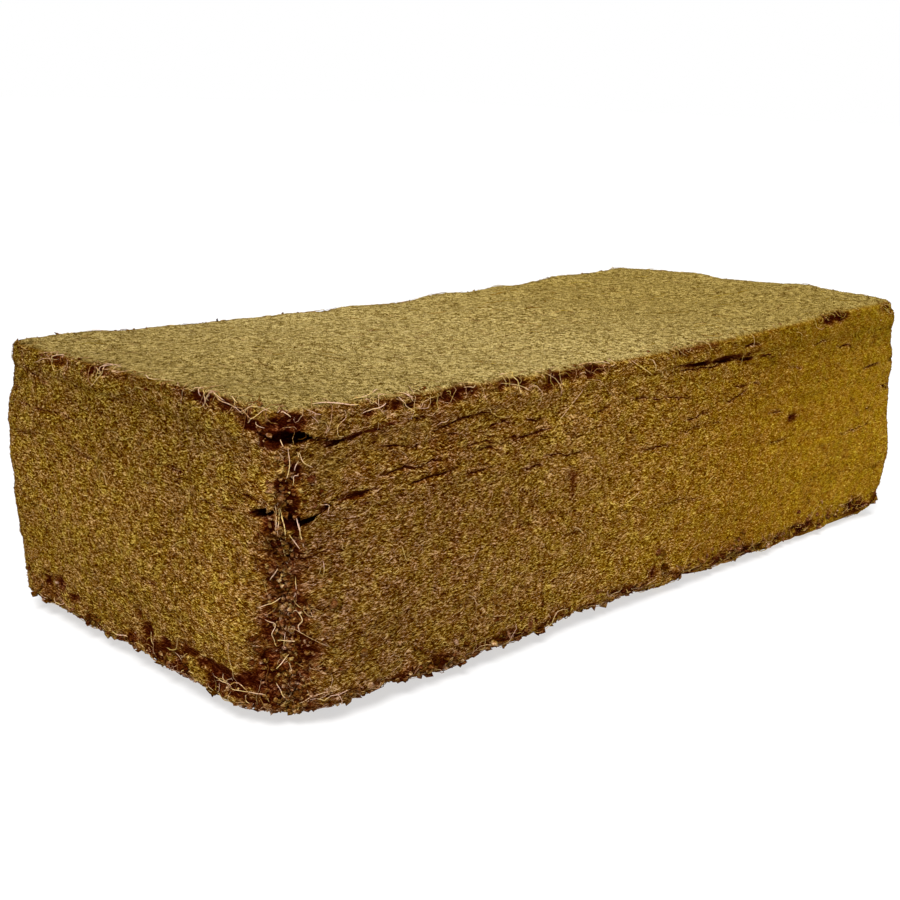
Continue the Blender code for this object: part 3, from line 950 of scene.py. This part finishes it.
# Strands seen one by one in the photograph, point by point in millimetres on the plane of the long front side:
# X and height. Past X = -105 they go on round the near corner, and past a height of 60 over the rim.
strands = {
    "wornStrip": [
        ((-106.4, 45.8), (-105.0, 43.4), (-103.4, 40.2), (-103.0, 36.8)),
        ((-102.8, 53.8), (-102.4, 50.6), (-103.0, 47.6)), ((-100.8, 52.8), (-101.0, 49.4)),
        ((-100.6, 52.8), (-99.8, 51.0), (-97.4, 49.6)), ((-100.2, 48.6), (-101.2, 48.6), (-101.6, 47.0)),
        ((-100.6, 40.8), (-99.8, 37.6), (-99.2, 36.0)), ((-102.6, 39.0), (-99.8, 35.6)),
        ((-104.2, 55.2), (-103.9, 54.6), (-103.6, 54.0)),
        ((-105.6, 44.0), (-105.0, 42.4), (-105.0, 40.2), (-105.4, 38.2)),
        ((-106.4, 45.2), (-106.0, 43.2), (-105.6, 40.8), (-105.8, 39.0)),
        ((-104.4, 41.8), (-103.4, 40.2), (-103.2, 37.4)), ((-100.8, 41.4), (-100.6, 40.0), (-99.2, 36.4)),
        ((-96.8, 43.2), (-94.4, 42.8), (-94.6, 41.6), (-94.2, 41.2)),
        ((-91.2, 59.0), (-91.0, 57.6), (-92.8, 56.4), (-92.6, 54.6), (-90.8, 54.2)),
    ],
    "lowCorner": [
        ((-106.0, 23.8), (-105.4, 21.2), (-102.0, 19.2), (-100.6, 20.2), (-95.6, 17.6), (-92.2, 15.6)),
        ((-110.4, 22.0), (-107.2, 21.0), (-108.2, 19.0), (-106.6, 16.6)), ((-105.8, 32.0), (-109.0, 29.2)),
        ((-111.8, 24.0), (-105.2, 26.2)), ((-97.6, 24.6), (-96.8, 22.4)), ((-95.0, 32.8), (-94.8, 30.0)),
        ((-102.6, 15.0), (-107.2, 12.2)), ((-107.0, 9.8), (-103.0, 5.2)), ((-100.8, 7.8), (-107.6, 2.8)),
        ((-100.0, 5.0), (-95.2, 7.0), (-90.2, 7.4)), ((-107.4, 17.8), (-99.2, 18.0)),
        ((-101.6, 23.2), (-100.2, 23.6), (-99.0, 22.0), (-100.0, 20.8), (-99.6, 19.8)),
        ((-125.2, 7.8), (-120.8, 6.8), (-117.0, 6.8), (-111.0, 7.4), (-109.0, 5.4)),
    ],
    "longSide": [
        ((-26.6, 55.0), (-27.4, 54.0), (-31.6, 50.6), (-35.6, 47.0)), ((-51.2, 59.2), (-46.0, 58.2), (-43.0, 56.8)),
        ((-10.6, 59.2), (-3.4, 55.0)), ((-10.2, 27.2), (-5.6, 29.0)), ((-89.6, 39.4), (-86.4, 39.8), (-84.2, 40.8)),
        ((-92.6, 40.6), (-94.6, 41.0)),
    ],
    "rim": [
        ((-115.0, 58.0), (-111.8, 59.2), (-108.6, 59.6), (-106.2, 59.4)), ((-112.6, 56.6), (-106.8, 60.0)),
        ((-97.4, 60.4), (-90.6, 59.4), (-87.2, 59.2)), ((-89.0, 59.8), (-84.0, 61.0), (-79.0, 64.0)),
        ((-110.0, 57.4), (-108.0, 56.6)), ((-123.0, 59.8), (-119.4, 59.2)), ((-118.2, 60.0), (-115.0, 59.4)),
        ((-86.4, 57.6), (-82.2, 58.2), (-80.6, 58.8)), ((-98.0, 58.4), (-96.8, 57.2)),
        ((-99.0, 59.4), (-96.2, 58.6)), ((-77.6, 59.6), (-75.6, 57.6), (-74.0, 56.6)),
    ],
}
strand = {"points": 17, "radius": 0.00007, "lift": 0.00035, "least": 0.0001, "sides": 5}


def throughKnots(knots, count):  # a Catmull-Rom curve through the knots
    knots = np.array(knots)
    padded = np.concatenate([2 * knots[:1] - knots[1:2], knots, 2 * knots[-1:] - knots[-2:-1]])
    at = np.linspace(0, len(knots) - 1, count)
    first = np.minimum(at.astype(int), len(knots) - 2)
    t = (at - first)[:, None]
    a, b, c, d = (padded[first + step] for step in range(4))
    return b + t * ((c - a) / 2 + t * (a - 2.5 * b + 2 * c - d / 2 + t * (1.5 * (b - c) + (d - a) / 2)))


def makeStrands(name, lines, material):  # curves through the knots, arched off the surface and thickest half way
    curves = np.array([throughKnots(line, strand["points"]) for line in lines]) * mm
    places, outward = onBale(folded("front", curves[..., 0], curves[..., 1] - height / 2))
    standing = np.sin(np.pi * np.linspace(0, 1, strand["points"])) ** 0.5
    thickness = 0.7 + 0.45 * np.sin(np.arange(len(lines)) * 2.4) ** 2
    radii = strand["radius"] * (0.4 + 0.6 * standing) * thickness[:, None]
    lift = strand["lift"] * standing + strand["least"]
    loose = 0.4 if name.endswith("longSide") else 1
    layFibres(name, places, outward, lift, radii, strand["sides"], 0.8 + 0.2 * thickness, material, loose)


# Crumbs of pith: twenty-sided grains, knocked out of shape and turned at random. Near the floor they are smaller and
# lie further in, and few lie above the upper gap.
crumbs = {
    "footCrumbs": dict(zone="foot", count=2000, size=(0.0002, 0.0009), seed=301),
    "edgeCrumbs": dict(zone="edge", count=950, size=(0.00028, 0.00078), seed=302),
    "rimCrumbs": dict(zone="rim", count=300, size=(0.00015, 0.0005), seed=303),
}
crumbForm = {"nearFloor": 0.003, "gapLevel": 0.046, "knocked": 0.36, "squash": (0.55, 1.2), "stand": (-0.5, 0.35)}
crumbShade = {"level": (0.68, 0.11), "pale": 0.12, "paleShare": 0.25, "big": 0.22, "least": 0.3, "most": 0.86}


def icosahedron():  # twelve points on three golden rectangles, found through Blender's own ball
    data = bpy.data.meshes.new("grain")
    ball = bmesh.new()
    bmesh.ops.create_icosphere(ball, subdivisions=1, radius=1)
    ball.to_mesh(data)
    ball.free()
    places = np.zeros(len(data.vertices) * 3)
    data.vertices.foreach_get("co", places)
    corners = np.zeros(len(data.polygons) * 3, np.int32)
    data.polygons.foreach_get("vertices", corners)
    bpy.data.meshes.remove(data)
    return places.reshape(-1, 3), corners.reshape(-1, 3)


def randomTurns(rng, count):  # rotation matrices from random unit quaternions
    w, x, y, z = rng.normal(size=(count, 4)).T
    size = np.sqrt(w * w + x * x + y * y + z * z)
    w, x, y, z = w / size, x / size, y / size, z / size
    rows = [
        [1 - 2 * (y * y + z * z), 2 * (x * y - z * w), 2 * (x * z + y * w)],
        [2 * (x * y + z * w), 1 - 2 * (x * x + z * z), 2 * (y * z - x * w)],
        [2 * (x * z - y * w), 2 * (y * z + x * w), 1 - 2 * (x * x + y * y)],
    ]
    return np.moveaxis(np.array(rows), -1, 0)


# Grains whose points are each moved in or out at random, squashed, turned, and sunk into the surface in part. Big ones
# are darker.
def makeCrumbs(name, settings, material):
    rng = np.random.default_rng(settings["seed"])
    chosen, u, v = tangleStarts(settings["zone"], rng, settings["count"])
    places, outward = spotsOnBale(chosen, u, v)
    kept = clearOfGaps(places[:, None], outward[:, None], rng, 0.0)
    if settings["zone"] == "edge":
        kept &= rng.random(len(kept)) > 0.8 * grown(places[:, 2], crumbForm["gapLevel"], 0.006)
    places, outward = places[kept], outward[kept]
    count = len(places)
    offFloor = smoothStep(places[:, 2] / crumbForm["nearFloor"])
    sizes = mix(*settings["size"], rng.random(count) ** 1.7) * mix(0.6, 1, offFloor)
    grain, sides = icosahedron()
    shapes = grain[None] * (1 + crumbForm["knocked"] * rng.normal(size=(count, len(grain), 1)))
    shapes = shapes * rng.uniform(*crumbForm["squash"], (count, 1, 3))
    shapes = np.einsum("nij,nvj->nvi", randomTurns(rng, count), shapes) * sizes[:, None, None]
    stand = rng.uniform(*crumbForm["stand"], count) - 0.5 * (1 - offFloor)
    centres = places + outward * (sizes * stand)[:, None]
    points = centres[:, None] + shapes
    points[..., 2] = np.maximum(points[..., 2], 0)
    corners = sides[None] + (np.arange(count) * len(grain))[:, None, None]
    shade = rng.normal(*crumbShade["level"], count)
    shade = shade + crumbShade["pale"] * (rng.random(count) > 1 - crumbShade["paleShare"])
    shade = shade - crumbShade["big"] * (sizes / settings["size"][1]) ** 2
    values = {
        "shade": np.clip(shade, crumbShade["least"], crumbShade["most"]),
        "topness": np.zeros(count),
        "crumbled": np.clip(rng.normal(0.85, 0.3, count), 0, 1),
        "paintedShade": np.zeros(count),
    }
    attributes = {title: np.repeat(value, len(grain)) for title, value in values.items()}
    addMesh(name, points.reshape(-1, 3), corners.reshape(-1, 3), attributes, material)


# Colours by linear value, dark to pale, for pith and fibre on the sides, on the top, and where it is crumbled
tones = {
    "side": (
        (0.0, (0.019, 0.0014, 0.0)),
        (0.2, (0.050, 0.0108, 0.0)),
        (0.4, (0.094, 0.0305, 0.0008)),
        (0.55, (0.152, 0.0635, 0.0058)),
        (0.75, (0.255, 0.134, 0.029)),
        (1.0, (0.52, 0.335, 0.155)),
    ),
    "top": (
        (0.0, (0.080, 0.040, 0.006)),
        (0.25, (0.214, 0.146, 0.028)),
        (0.5, (0.364, 0.264, 0.078)),
        (0.75, (0.465, 0.354, 0.122)),
        (1.0, (0.70, 0.555, 0.25)),
    ),
    "crumbled": (
        (0.0, (0.010, 0.0004, 0.0)),
        (0.3, (0.026, 0.0028, 0.0005)),
        (0.5, (0.094, 0.020, 0.0030)),
        (0.7, (0.245, 0.098, 0.025)),
        (0.85, (0.46, 0.26, 0.105)),
        (1.0, (0.82, 0.56, 0.31)),
    ),
}
# The colour of the deepest painted shadow, in splits, pockets and cracks
paintedShadowTone = (0.013, 0.0009, 0.0002)


def join(tree, a, b):  # from an output to an input
    tree.links.new(a, b)


def feed(tree, socket, value):  # a number or colour is set on the socket, anything else is joined to it
    if isinstance(value, tuple):
        socket.default_value = (*value, 1) if len(value) == 3 and socket.type == "RGBA" else value
    elif isinstance(value, (int, float)):
        socket.default_value = value
    else:
        join(tree, value, socket)


def newGroup(name, inputs, outputs):  # inputs are numbers, outputs are of the kinds given
    group = bpy.data.node_groups.new(name, "ShaderNodeTree")
    for title in inputs:
        group.interface.new_socket(title, in_out="INPUT", socket_type="NodeSocketFloat")
    for title, kind in outputs:
        group.interface.new_socket(title, in_out="OUTPUT", socket_type=kind)
    return group, group.nodes.new("NodeGroupInput").outputs, group.nodes.new("NodeGroupOutput").inputs


def compute(tree, operation, a, b=0.0, clamp=False):  # a Math node, of numbers or other nodes' outputs
    node = tree.nodes.new("ShaderNodeMath")
    node.operation, node.use_clamp = operation, clamp
    feed(tree, node.inputs[0], a)
    feed(tree, node.inputs[1], b)
    return node.outputs[0]


# Sums, differences and products of numbers or other nodes' outputs
def plus(tree, a, b):
    return compute(tree, "ADD", a, b)


def minus(tree, a, b):
    return compute(tree, "SUBTRACT", a, b)


def times(tree, a, b):
    return compute(tree, "MULTIPLY", a, b)


def ease(tree, value, low, high, start=0.0, end=1.0):  # smooth step from start at low to end at high
    node = tree.nodes.new("ShaderNodeMapRange")
    node.interpolation_type = "SMOOTHSTEP"
    for title, number in (("From Min", low), ("From Max", high), ("To Min", start), ("To Max", end)):
        feed(tree, node.inputs[title], number)
    join(tree, value, node.inputs["Value"])
    return node.outputs[0]


def ramp(tree, value, stops):  # places are all set before colours, as setting one sorts them
    node = tree.nodes.new("ShaderNodeValToRGB")
    elements = node.color_ramp.elements
    while len(elements) < len(stops):
        elements.new(0.5)
    for element, (at, _) in zip(elements, stops):
        element.position = at
    for element, (_, colour) in zip(elements, stops):
        element.color = (*colour, 1)
    join(tree, value, node.inputs[0])
    return node.outputs[0]


def blend(tree, share, a, b, kind="MIX"):  # from a to b by a share
    node = tree.nodes.new("ShaderNodeMix")
    node.data_type, node.blend_type = "RGBA", kind
    for socket, value in ((node.inputs[0], share), (node.inputs[6], a), (node.inputs[7], b)):
        feed(tree, socket, value)
    return node.outputs[2]


def tinted(tree, base, tint):  # a colour multiplied by another
    return blend(tree, 1.0, base, tint, "MULTIPLY")


# Noise of a grain in metres, stretched along each axis, moved by an offset and tilted off level
def mottle(tree, grain, stretch=(1, 1, 1), detail=2.0, distortion=0.0, offset=0.0, tilt=0.0):
    mapping = tree.nodes.new("ShaderNodeMapping")
    mapping.vector_type = "TEXTURE"
    mapping.inputs["Scale"].default_value = [1 / share for share in stretch]
    mapping.inputs["Rotation"].default_value = (tilt, tilt, 0)
    mapping.inputs["Location"].default_value = (offset, offset, offset)
    join(tree, tree.nodes.new("ShaderNodeTexCoord").outputs["Object"], mapping.inputs["Vector"])
    node = tree.nodes.new("ShaderNodeTexNoise")
    for title, value in (("Scale", 1 / grain), ("Detail", detail), ("Roughness", 0.6), ("Distortion", distortion)):
        node.inputs[title].default_value = value
    join(tree, mapping.outputs[0], node.inputs["Vector"])
    return node.outputs["Fac"]


def threads(tree, value, thickness):  # 1 on the lines where a noise passes its middle value, 0 a little way off
    off = compute(tree, "ABSOLUTE", minus(tree, value, 0.5))
    return ease(tree, off, 0.0, thickness, 1.0, 0.0)


# Felt pattern: size of its grains, pale threads and dark gaps in metres, how they are stretched and tilted, and how
# much grains, threads and gaps weigh in the shade. The dark gaps are painted shade between the threads, and the pale
# threads partly a painted highlight on fibres that stand up. Then how thick the lines are, in noise units.
feltPattern = {
    "side": {
        "stretch": (0.2, 0.2, 1.0),
        "tilt": 0.35,
        "grain": 0.00018,
        "thread": 0.0002,
        "gap": 0.0002,
        "weights": (3.1, 0.2, 0.4),
    },
    "top": {
        "stretch": (1.0, 1.0, 1.0),
        "tilt": 0.0,
        "grain": 0.00027,
        "thread": 0.0006,
        "gap": 0.0008,
        "weights": (2.0, 0.7, 0.85),
    },
    "threadThickness": 0.17,
    "gapThickness": 0.14,
}


def feltPart(tree, part, offset):  # grains, thin pale threads that stand up and thin dark gaps between them
    stretch, tilt = part["stretch"], part["tilt"]
    grains = mottle(tree, part["grain"], stretch, 1.0, 0.5, offset, tilt)
    if tilt:
        crossing = mottle(tree, part["grain"], stretch, 1.0, 0.5, offset + 0.15, -tilt)
        grains = minus(tree, compute(tree, "MAXIMUM", grains, crossing), 0.06)
    grains = minus(tree, grains, 0.5)
    pale = mottle(tree, part["thread"], stretch, 1.0, 1.2, offset + 0.3, tilt * 0.5)
    dark = mottle(tree, part["gap"], stretch, 1.0, 1.4, offset + 0.6, -tilt * 0.5)
    broken = ease(tree, mottle(tree, part["gap"] * 1.7, stretch, 1.0, 0.0, offset + 0.8), 0.42, 0.56)
    pale = threads(tree, pale, feltPattern["threadThickness"])
    dark = times(tree, threads(tree, dark, feltPattern["gapThickness"]), broken)
    return grains, pale, dark


def coirFeltGroup():  # the sides' pattern and the top's, mixed by how much a place belongs to the top
    outputs = [("Height", "NodeSocketFloat"), ("Shade", "NodeSocketFloat")]
    group, value, result = newGroup("coirFelt", ["Topness"], outputs)
    heights, shades = [], []
    for name, offset in (("side", 0.0), ("top", 0.9)):
        grains, pale, dark = feltPart(group, feltPattern[name], offset)
        lines = minus(group, times(group, pale, 0.5), dark)
        heights.append(plus(group, times(group, grains, 1.2), lines))
        weights = feltPattern[name]["weights"]
        # Dark gaps lower the shade as painted shade between threads; pale threads raise it, partly as a painted
        # highlight
        shade = times(group, grains, weights[0])
        shade = plus(group, shade, times(group, pale, weights[1]))
        shades.append(minus(group, shade, times(group, dark, weights[2])))
    for title, (side, top) in (("Height", heights), ("Shade", shades)):
        change = times(group, minus(group, top, side), value["Topness"])
        join(group, plus(group, side, change), result[title])
    return group


def alongAxis(tree, axis, low, high, start=0.0, end=1.0):  # from start at low to end at high along X, Y or Z
    split = tree.nodes.new("ShaderNodeSeparateXYZ")
    join(tree, tree.nodes.new("ShaderNodeTexCoord").outputs["Object"], split.inputs[0])
    return ease(tree, split.outputs[axis], low, high, start, end)


# Half width of the dark line of painted shade where a crack is strongest, how far it wanders, how dark it is, and how
# dark any painted shade in a hollow may be
crackShadeLine = {"wide": 0.00028, "wander": 0.0006, "dark": 0.92, "most": 0.97}
# Where the sides are tinted: slopes along X, Y or Z, from one value at a place to another, multiplied with each other
sideTints = (
    (((0, -0.110, 0.075),), (1.74, 1.94, 0.98)),  # golden away from the near corner
    (((0, 0.02, 0.10),), (1.16, 1.33, 1.4)),  # paler at the far end
    (((1, -0.048, 0.0), (0, -0.10, -0.02, 1.0, 0.0)), (1.10, 1.17, 0.75)),  # the near end
    (((0, -0.1045, -0.1005, 1.0, 0.0), (1, -0.034, -0.014, 1.0, 0.0)), (1.42, 1.52, 1.0)),  # the end beside the corner
)
tints = {
    "high": (0.77, 0.78, 0.80),  # the sides below the rim
    "topNear": (0.73, 0.69, 0.60),
    "topFar": (0.82, 0.78, 0.60),
    "lessBlue": (0.98, 1.03, 0.68),
    "moreBlue": (1.02, 0.97, 1.32),
    "shadow": (0.85, 0.42, 0.2),  # light that is left in a hollow
}


slopes = {  # axis, from and to in metres, and the values there where they aren't 0 and 1
    "softer": (0, -0.04, 0.09, 1.0, 0.42),
    "offFront": (1, -0.046, -0.036),
    "offEnd": (0, -0.04, 0.02),
    "high": (2, 0.034, 0.053),
    "topNear": (0, -0.120, -0.02),
    "topFar": (0, -0.03, 0.07),
}
# Grain and weight in the shade of broad blotches and of smaller patches, and the grains of the yellow patches and of
# the lines' wandering
blotched = {"blotches": (0.016, 0.07), "patches": (0.004, 0.05), "yellow": 0.0026, "lines": 0.0010}


# Shade to colour on three ramps. The sides turn softer and more golden away from the near corner, hollows redden and
# darken with painted shade, and thin dark lines of painted shade follow the cracks.
def coirColourGroup():
    inputs = ["Shade", "Topness", "Crumbled", "Paintedshade", "Off", "Crack"]
    group, value, result = newGroup("coirColour", inputs, [("Colour", "NodeSocketColor")])
    slope = {name: alongAxis(group, *numbers) for name, numbers in slopes.items()}
    shade = value["Shade"]
    for name, detail, offset in (("blotches", 3.0, 0.11), ("patches", 2.0, 0.21)):
        grain, weight = blotched[name]
        blotches = minus(group, mottle(group, grain, detail=detail, offset=offset), 0.5)
        shade = plus(group, shade, times(group, blotches, weight))
    side = ramp(group, plus(group, times(group, minus(group, shade, 0.5), slope["softer"]), 0.5), tones["side"])
    for numbers, tint in sideTints:
        share, *others = [alongAxis(group, *each) for each in numbers]
        for other in others:
            share = times(group, share, other)
        side = blend(group, share, side, tinted(group, side, tint))
    high = times(group, slope["high"], compute(group, "MAXIMUM", slope["offFront"], slope["offEnd"]))
    side = blend(group, high, side, tinted(group, side, tints["high"]))
    top = ramp(group, shade, tones["top"])
    top = blend(group, slope["topNear"], tinted(group, top, tints["topNear"]), top)
    top = blend(group, slope["topFar"], top, tinted(group, top, tints["topFar"]))
    whole = blend(group, value["Crumbled"], side, ramp(group, shade, tones["crumbled"]))
    yellow = ease(group, mottle(group, blotched["yellow"], detail=1.0, offset=0.33), 0.34, 0.66)
    whole = blend(group, yellow, tinted(group, whole, tints["lessBlue"]), tinted(group, whole, tints["moreBlue"]))
    covered = times(group, value["Topness"], minus(group, 1.0, value["Crumbled"]))
    whole = blend(group, covered, whole, top)
    wander = minus(group, mottle(group, blotched["lines"], detail=2.0, offset=0.4), 0.5)
    off = compute(group, "ABSOLUTE", plus(group, value["Off"], times(group, wander, crackShadeLine["wander"])))
    wide = plus(group, times(group, value["Crack"], crackShadeLine["wide"]), 0.00001)
    line = ease(group, compute(group, "DIVIDE", off, wide), 0.35, 1.0, 1.0, 0.0)
    line = times(group, line, ease(group, value["Crack"], 0.05, 0.4))
    # Painted shade: hollows and crack lines redden and then darken towards the painted shadow tone
    paintedShade = compute(group, "MAXIMUM", value["Paintedshade"], times(group, line, crackShadeLine["dark"]))
    paintedShade = compute(group, "MULTIPLY", paintedShade, crackShadeLine["most"], True)
    reddened = blend(group, paintedShade, whole, tinted(group, whole, tints["shadow"]))
    deep = compute(group, "POWER", paintedShade, 1.15)
    join(group, blend(group, deep, reddened, paintedShadowTone), result["Colour"])
    return group


coirFelt, coirColour = coirFeltGroup(), coirColourGroup()


def coirMaterial(name, feltInShade, bumpDistance, roughness):  # the piece's attributes, with felt added to the shade
    material = bpy.data.materials.new(name)
    material.use_nodes = True
    tree = material.node_tree
    shader = tree.nodes["Principled BSDF"]
    shader.inputs["Roughness"].default_value = roughness
    shader.inputs["Specular IOR Level"].default_value = 0.0
    values = {}
    for title in ("shade", "topness", "crumbled", "paintedShade", "off", "crack"):
        node = tree.nodes.new("ShaderNodeAttribute")
        node.attribute_name = title
        values[title] = node.outputs["Fac"]
    pattern = tree.nodes.new("ShaderNodeGroup")
    pattern.node_tree = coirFelt
    join(tree, values["topness"], pattern.inputs["Topness"])
    felted = times(tree, pattern.outputs["Shade"], feltInShade)
    felted = times(tree, felted, ease(tree, values["crumbled"], 0.0, 1.0, 1.0, 0.6))
    values["shade"] = plus(tree, values["shade"], felted)
    colour = tree.nodes.new("ShaderNodeGroup")
    colour.node_tree = coirColour
    for title, value in values.items():
        join(tree, value, colour.inputs[title.capitalize()])
    join(tree, colour.outputs["Colour"], shader.inputs["Base Color"])
    bump = tree.nodes.new("ShaderNodeBump")
    bump.inputs["Strength"].default_value = 1.0
    bump.inputs["Distance"].default_value = bumpDistance
    join(tree, pattern.outputs["Height"], bump.inputs["Height"])
    join(tree, bump.outputs["Normal"], shader.inputs["Normal"])
    return material


studio = {
    "reach": 4.0,
    "sky": 0.5,
    "horizon": 1.0,  # the low band that the camera sees
    "lowBand": (0.09, 0.25),  # where it ends, as the height of a direction of length one
    "sunFrom": (-0.45, -0.35, 0.8),
    "sun": 3.6,
    "sunWidth": 24,  # degrees across
    "floor": 0.36,
    "glow": 0.6,  # a light table, so that the shadow stays faint
}


def makeStudio():  # a pale floor, a soft sun and a sky that is brighter low down
    reach = studio["reach"]
    corners = [(-reach, -reach, 0), (reach, -reach, 0), (reach, reach, 0), (-reach, reach, 0)]
    floorData = bpy.data.meshes.new("floor")
    floorData.from_pydata(corners, [], [(0, 1, 2, 3)])
    floor = bpy.data.objects.new("floor", floorData)
    bpy.context.collection.objects.link(floor)
    paper = bpy.data.materials.new("palePaper")
    paper.use_nodes = True
    shader = paper.node_tree.nodes["Principled BSDF"]
    shader.inputs["Base Color"].default_value = (studio["floor"],) * 3 + (1,)
    shader.inputs["Roughness"].default_value = 0.9
    shader.inputs["Specular IOR Level"].default_value = 0.0
    shader.inputs["Emission Color"].default_value = (1, 1, 1, 1)
    shader.inputs["Emission Strength"].default_value = studio["glow"]
    floorData.materials.append(paper)
    floor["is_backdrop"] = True
    world = bpy.data.worlds.new("softSky")
    world.use_nodes = True
    tree = world.node_tree
    background = tree.nodes["Background"]
    background.inputs["Color"].default_value = (1, 1, 1, 1)
    split = tree.nodes.new("ShaderNodeSeparateXYZ")
    join(tree, tree.nodes.new("ShaderNodeTexCoord").outputs["Generated"], split.inputs[0])
    strength = ease(tree, split.outputs[2], *studio["lowBand"], studio["horizon"], studio["sky"])
    join(tree, strength, background.inputs["Strength"])
    bpy.context.scene.world = world
    data = bpy.data.lights.new("softSun", "SUN")
    data.energy, data.angle = studio["sun"], math.radians(studio["sunWidth"])
    sun = bpy.data.objects.new("softSun", data)
    sun.rotation_euler = Vector(studio["sunFrom"]).to_track_quat("Z", "Y").to_euler()
    bpy.context.collection.objects.link(sun)
    bpy.context.scene.view_settings.view_transform = "Standard"


makeCamera()
makeStudio()
pith = coirMaterial("pressedPith", feltInShade=1.0, bumpDistance=0.00005, roughness=0.95)
fibre = coirMaterial("coirFibre", feltInShade=0.4, bumpDistance=0.00003, roughness=0.8)
crumb = coirMaterial("coirCrumb", feltInShade=0.6, bumpDistance=0.00015, roughness=0.95)
makeBlock(pith)
print("block made")
for name, kind in feltKinds.items():
    for face in kind["faces"]:
        makeFelt(name + face[0].upper() + face[1:], face, kind, fibre)
print("felt laid")
for name, settings in tangles.items():
    makeTangle(name, settings, fibre)
for name, lines in strands.items():
    makeStrands(f"strands_{name}", lines, fibre)
for name, settings in crumbs.items():
    makeCrumbs(name, settings, crumb)
print("loose fibres and crumbs laid")
